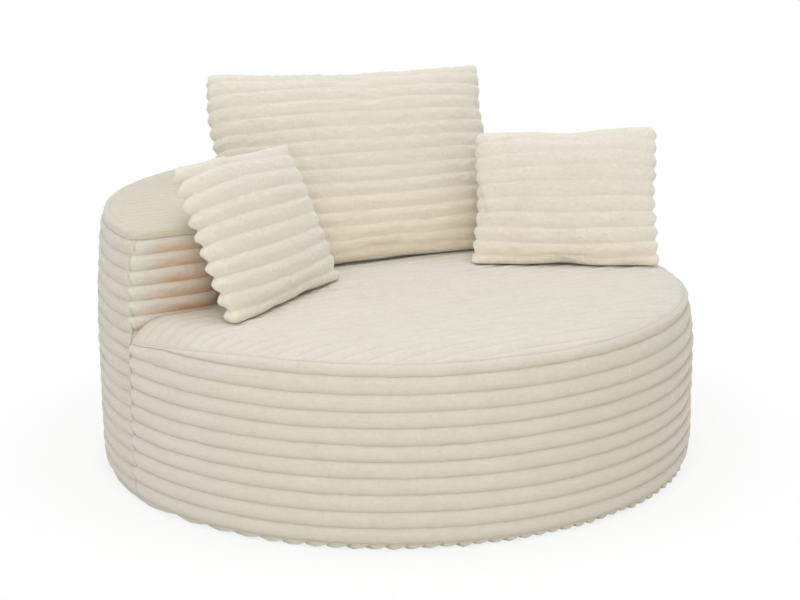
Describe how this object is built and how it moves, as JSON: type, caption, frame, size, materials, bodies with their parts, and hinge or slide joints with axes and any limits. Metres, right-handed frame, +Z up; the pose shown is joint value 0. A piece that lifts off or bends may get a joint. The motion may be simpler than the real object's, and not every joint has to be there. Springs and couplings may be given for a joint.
{
  "type": "round lounge armchair",
  "caption": "Low round foam lounge armchair in wide-ribbed plush, with a C-shaped backrest and loose back and side cushions.",
  "frame": {"origin": "centre of the round base, on the floor", "axes": "+Z up, -Y towards the open front of the seat, +Y towards the back, +X to the right seen from the front"},
  "size_m": [1.2698, 1.2699, 0.7854],
  "materials": {
    "chair_plush": "matte",
    "cushion_plush": "matte",
    "foam": "matte",
    "fibre_filling": "matte",
    "zip_tape": "matte",
    "zip_coil": "satin",
    "zip_metal": "satin"
  },
  "bodies": {
    "chair": {"backrest_foam": "foam", "backrest_inner_panel": "chair_plush", "backrest_top_panel": "chair_plush", "base_foam": "foam", "base_panel": "chair_plush", "cover_zip_stops": "zip_metal", "cover_zip_tapes": "zip_tape", "cover_zip_teeth": "zip_coil", "front_wall_panel": "chair_plush", "rear_wall_panel": "chair_plush", "seat_foam": "foam", "seat_top_panel": "chair_plush", "seat_wadding": "fibre_filling"},
    "back_cushion": {"back_cushion_back_panel": "cushion_plush", "back_cushion_filling": "fibre_filling", "back_cushion_front_panel": "cushion_plush", "back_cushion_zip_stops": "zip_metal", "back_cushion_zip_tapes": "zip_tape", "back_cushion_zip_teeth": "zip_coil"},
    "left_cushion": {"left_cushion_back_panel": "cushion_plush", "left_cushion_filling": "fibre_filling", "left_cushion_front_panel": "cushion_plush", "left_cushion_zip_stops": "zip_metal", "left_cushion_zip_tapes": "zip_tape", "left_cushion_zip_teeth": "zip_coil"},
    "right_cushion": {"right_cushion_back_panel": "cushion_plush", "right_cushion_filling": "fibre_filling", "right_cushion_front_panel": "cushion_plush", "right_cushion_zip_stops": "zip_metal", "right_cushion_zip_tapes": "zip_tape", "right_cushion_zip_teeth": "zip_coil"},
    "cover_zip_slider": {"cover_zip_slider": "zip_metal"},
    "back_cushion_zip_slider": {"back_cushion_zip_slider": "zip_metal"},
    "left_cushion_zip_slider": {"left_cushion_zip_slider": "zip_metal"},
    "right_cushion_zip_slider": {"right_cushion_zip_slider": "zip_metal"}
  },
  "joints": [
    {"name": "back_cushion_lift", "type": "slide", "parent": "chair", "child": "back_cushion", "axis": [0, 0.0499, 0.9988], "range_m": [0, 0.33]},
    {"name": "left_cushion_lift", "type": "slide", "parent": "chair", "child": "left_cushion", "axis": [0, 0, 1], "range_m": [0, 0.26]},
    {"name": "right_cushion_lift", "type": "slide", "parent": "chair", "child": "right_cushion", "axis": [0, 0, 1], "range_m": [0, 0.26]},
    {"name": "back_cushion_zip_travel", "type": "slide", "parent": "back_cushion", "child": "back_cushion_zip_slider", "axis": [-0.9969, 0.0785, 0], "range_m": [0, 0.43]},
    {"name": "left_cushion_zip_travel", "type": "slide", "parent": "left_cushion", "child": "left_cushion_zip_slider", "axis": [-0.8387, -0.5446, 0], "range_m": [0, 0.2668]},
    {"name": "right_cushion_zip_travel", "type": "slide", "parent": "right_cushion", "child": "right_cushion_zip_slider", "axis": [-0.8192, 0.5736, 0], "range_m": [0, 0.2668]},
    {"name": "cover_zip_travel", "type": "hinge", "parent": "chair", "child": "cover_zip_slider", "pos_m": [0, 0, 0], "axis": [0, 0, 1], "range_deg": [0, 142.8]}
  ]
}
